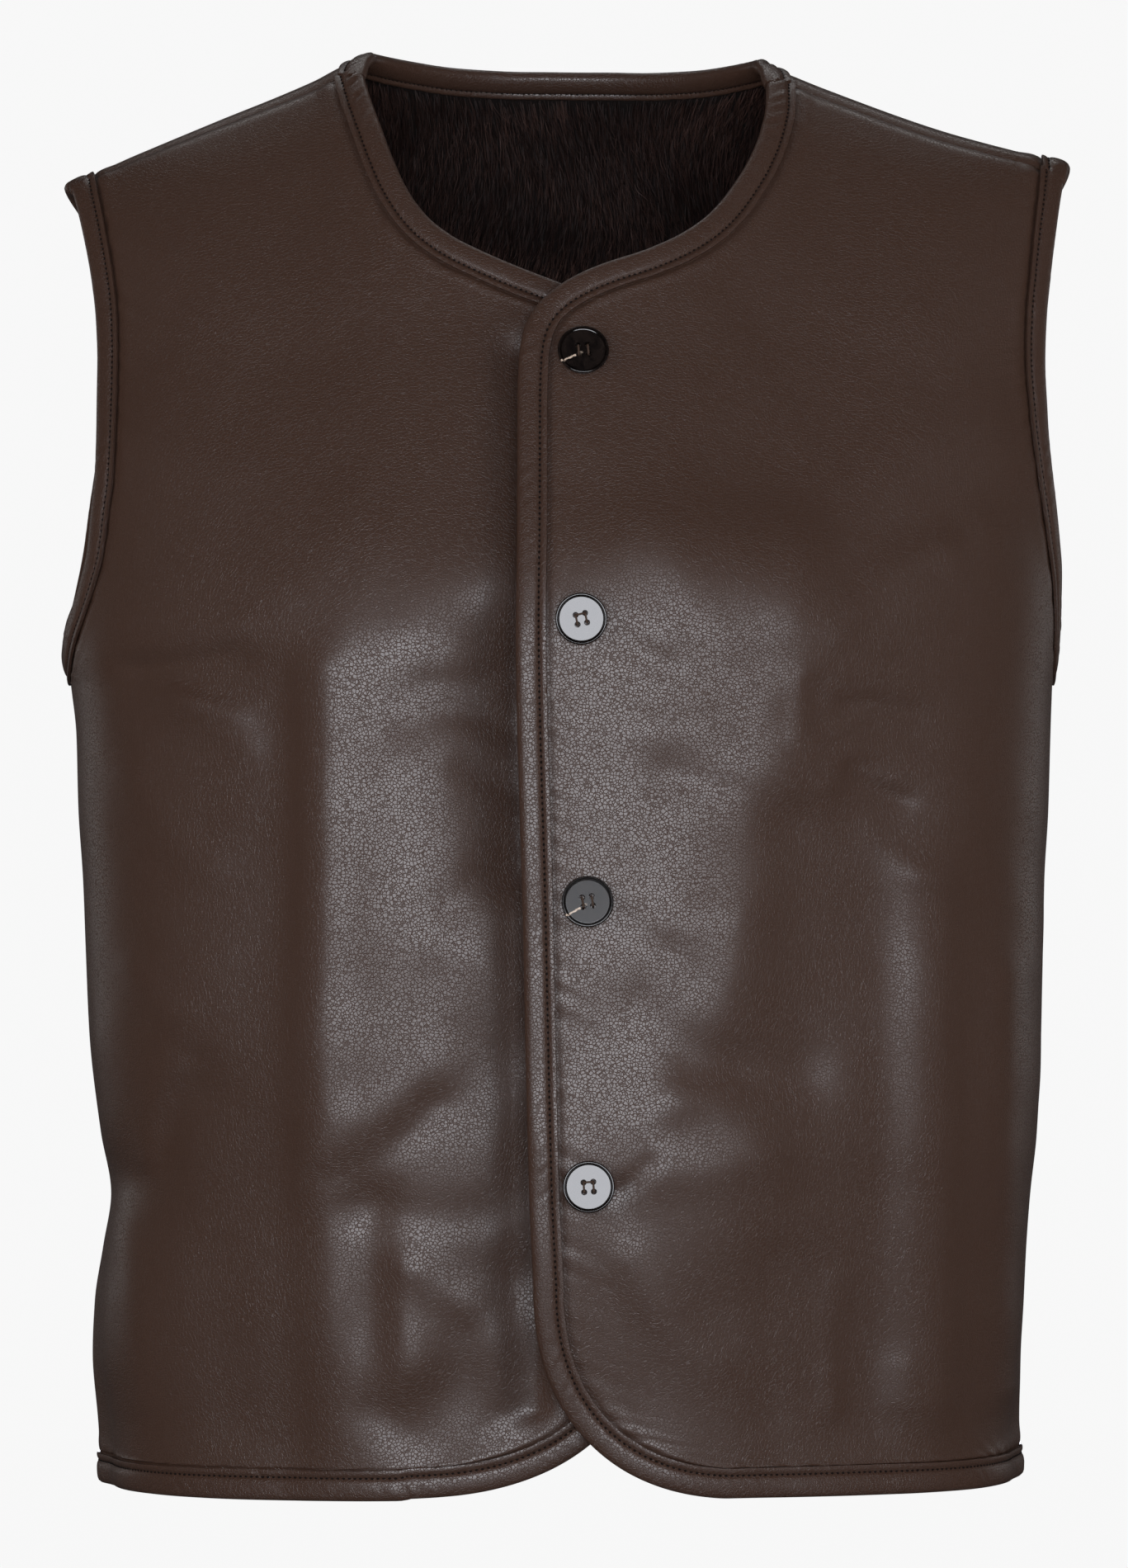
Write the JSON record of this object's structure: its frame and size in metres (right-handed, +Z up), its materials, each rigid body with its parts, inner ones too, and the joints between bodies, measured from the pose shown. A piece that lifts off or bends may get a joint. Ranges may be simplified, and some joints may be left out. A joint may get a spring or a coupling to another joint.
{
  "type": "sleeveless jacket",
  "caption": "Collarless sleeveless jacket in grained leather cloth with pile inside, bound edges, rounded front corners and a buttoned lapped front, filled out as worn.",
  "frame": {"origin": "between the shoulders on the centre plane, at the height of the shoulder tips", "axes": "+Z up; the front faces -Y; +X to the wearer's left"},
  "size_m": [0.409, 0.2483, 0.5796],
  "materials": {
    "cloth": "semi-gloss pebble grain outside, dark pile inside",
    "binding": "semi-gloss pebble grain, topstitched",
    "button": "polished dark horn effect"
  },
  "bodies": {
    "root": {"front_right": "cloth", "front_left": "cloth", "back": "cloth", "binding_right": "binding", "binding_left": "binding", "binding_neck_back": "binding", "binding_hem_back": "binding", "binding_armhole_right": "binding", "binding_armhole_left": "binding", "button_1": "button", "button_2": "button", "button_3": "button", "button_4": "button"}
  },
  "joints": []
}
